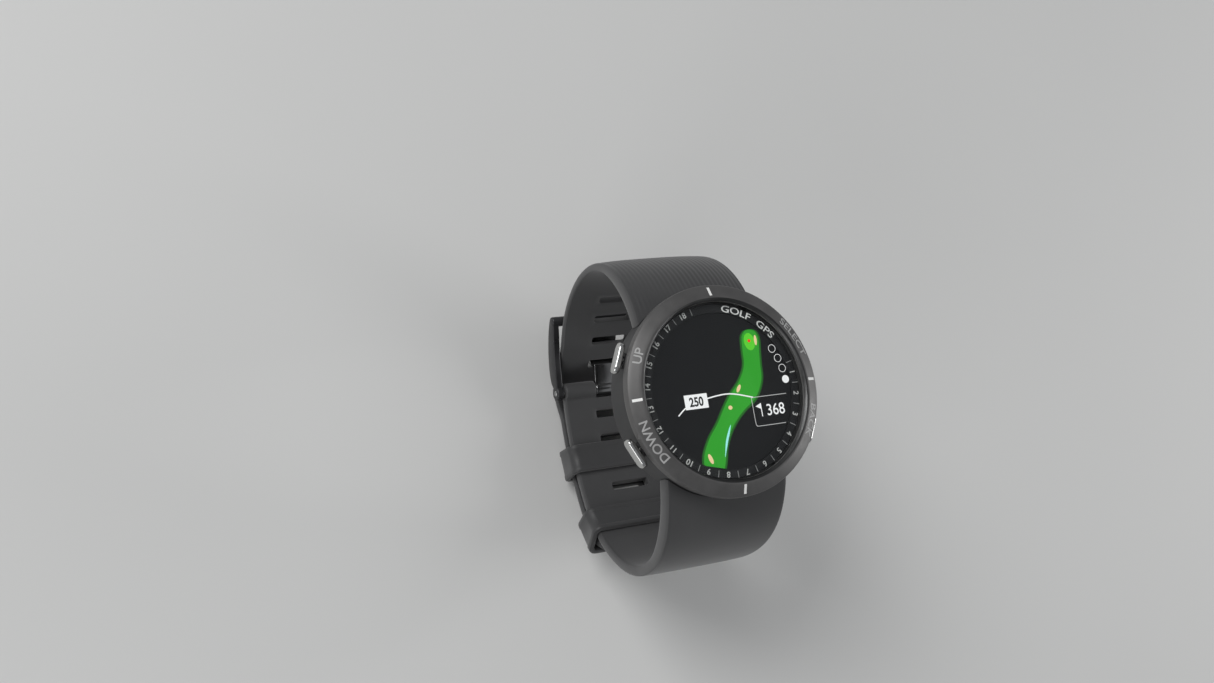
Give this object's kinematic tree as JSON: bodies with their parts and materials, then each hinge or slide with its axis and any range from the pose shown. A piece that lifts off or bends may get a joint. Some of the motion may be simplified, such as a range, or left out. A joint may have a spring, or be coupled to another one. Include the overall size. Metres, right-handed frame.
{
  "type": "golf gps watch",
  "caption": "Round golf GPS watch with a hole-number ring, a lit fairway map, push buttons at the sides and a slotted silicone strap buckled into a closed loop.",
  "frame": {"origin": "under the middle of the whole watch, on the surface that the buckled loop stands on", "axes": "+Z is the dial's normal, +Y points to 12 o'clock, +X to 3 o'clock"},
  "size_m": [0.0488, 0.074, 0.0668],
  "materials": {
    "case_dark": "satin",
    "bezel_metal": "satin, brushed",
    "white_print": "matte",
    "lens_glass": "polished",
    "seal_rubber": "matte",
    "number_ring": "matte, printed numbers",
    "display": "lit picture",
    "carrier_plastic": "matte",
    "flex_film": "satin",
    "board_green": "satin",
    "shield_tin": "satin",
    "chip_black": "matte",
    "ceramic": "matte",
    "battery_foil": "satin",
    "screw_steel": "satin",
    "contact_gold": "polished",
    "button_steel": "polished",
    "strap_silicone": "matte, soft touch",
    "pin_steel": "polished",
    "buckle_metal": "satin"
  },
  "bodies": {
    "watch": {"mid_case": "case_dark", "back_cover": "case_dark", "bezel": "bezel_metal", "index_marks": "white_print", "lens": "lens_glass", "lens_gasket": "seal_rubber", "back_gasket": "seal_rubber", "hole_number_ring": "number_ring", "display_module": "display", "display_carrier": "carrier_plastic", "display_flex": "flex_film", "circuit_board": "board_green", "chip_shield": "shield_tin", "vibration_motor": "shield_tin", "board_chips": "chip_black", "tact_switches": "chip_black", "gps_antenna": "ceramic", "battery": "battery_foil", "back_screws": "screw_steel", "charging_contacts": "contact_gold", "strap_upper": "strap_silicone", "strap_lower": "strap_silicone", "keeper_fixed": "strap_silicone", "spring_bar_upper": "pin_steel", "spring_bar_lower": "pin_steel", "buckle_pin": "pin_steel"},
    "button_up": {"button_up": "button_steel", "seal_up": "seal_rubber", "clip_up": "screw_steel"},
    "button_down": {"button_down": "button_steel", "seal_down": "seal_rubber", "clip_down": "screw_steel"},
    "button_select": {"button_select": "button_steel", "seal_select": "seal_rubber", "clip_select": "screw_steel"},
    "button_back": {"button_back": "button_steel", "seal_back": "seal_rubber", "clip_back": "screw_steel"},
    "release_pin_upper": {"release_pin_upper": "pin_steel"},
    "release_pin_lower": {"release_pin_lower": "pin_steel"},
    "buckle_frame": {"buckle_frame": "buckle_metal"},
    "buckle_tongue": {"buckle_tongue": "pin_steel"},
    "keeper_sliding": {"keeper_sliding": "strap_silicone"}
  },
  "joints": [
    {"name": "up_press", "type": "slide", "parent": "watch", "child": "button_up", "axis": [0.9135, -0.4067, 0], "range_m": [0, 0.00045], "stiffness_N_per_m": 500},
    {"name": "down_press", "type": "slide", "parent": "watch", "child": "button_down", "axis": [0.8988, 0.4384, 0], "range_m": [0, 0.00045], "stiffness_N_per_m": 500},
    {"name": "select_press", "type": "slide", "parent": "watch", "child": "button_select", "axis": [-0.9135, -0.4067, 0], "range_m": [0, 0.00045], "stiffness_N_per_m": 500},
    {"name": "back_press", "type": "slide", "parent": "watch", "child": "button_back", "axis": [-0.8988, 0.4384, 0], "range_m": [0, 0.00045], "stiffness_N_per_m": 500},
    {"name": "release_upper", "type": "slide", "parent": "watch", "child": "release_pin_upper", "axis": [-1, 0, 0], "range_m": [0, 0.0013], "stiffness_N_per_m": 400},
    {"name": "release_lower", "type": "slide", "parent": "watch", "child": "release_pin_lower", "axis": [-1, 0, 0], "range_m": [0, 0.0013], "stiffness_N_per_m": 400},
    {"name": "buckle_frame_hinge", "type": "hinge", "parent": "watch", "child": "buckle_frame", "pos_m": [0, 0.01063, 0.00701], "axis": [-1, 0, 0], "range_deg": [0, 5]},
    {"name": "buckle_tongue_hinge", "type": "hinge", "parent": "buckle_frame", "child": "buckle_tongue", "pos_m": [0, 0.01063, 0.00701], "axis": [-1, 0, 0], "range_deg": [0, 2]},
    {"name": "keeper_slide", "type": "hinge", "parent": "watch", "child": "keeper_sliding", "pos_m": [0, -0.00907, 0.03456], "axis": [1, 0, 0], "range_deg": [-12, 12]}
  ]
}
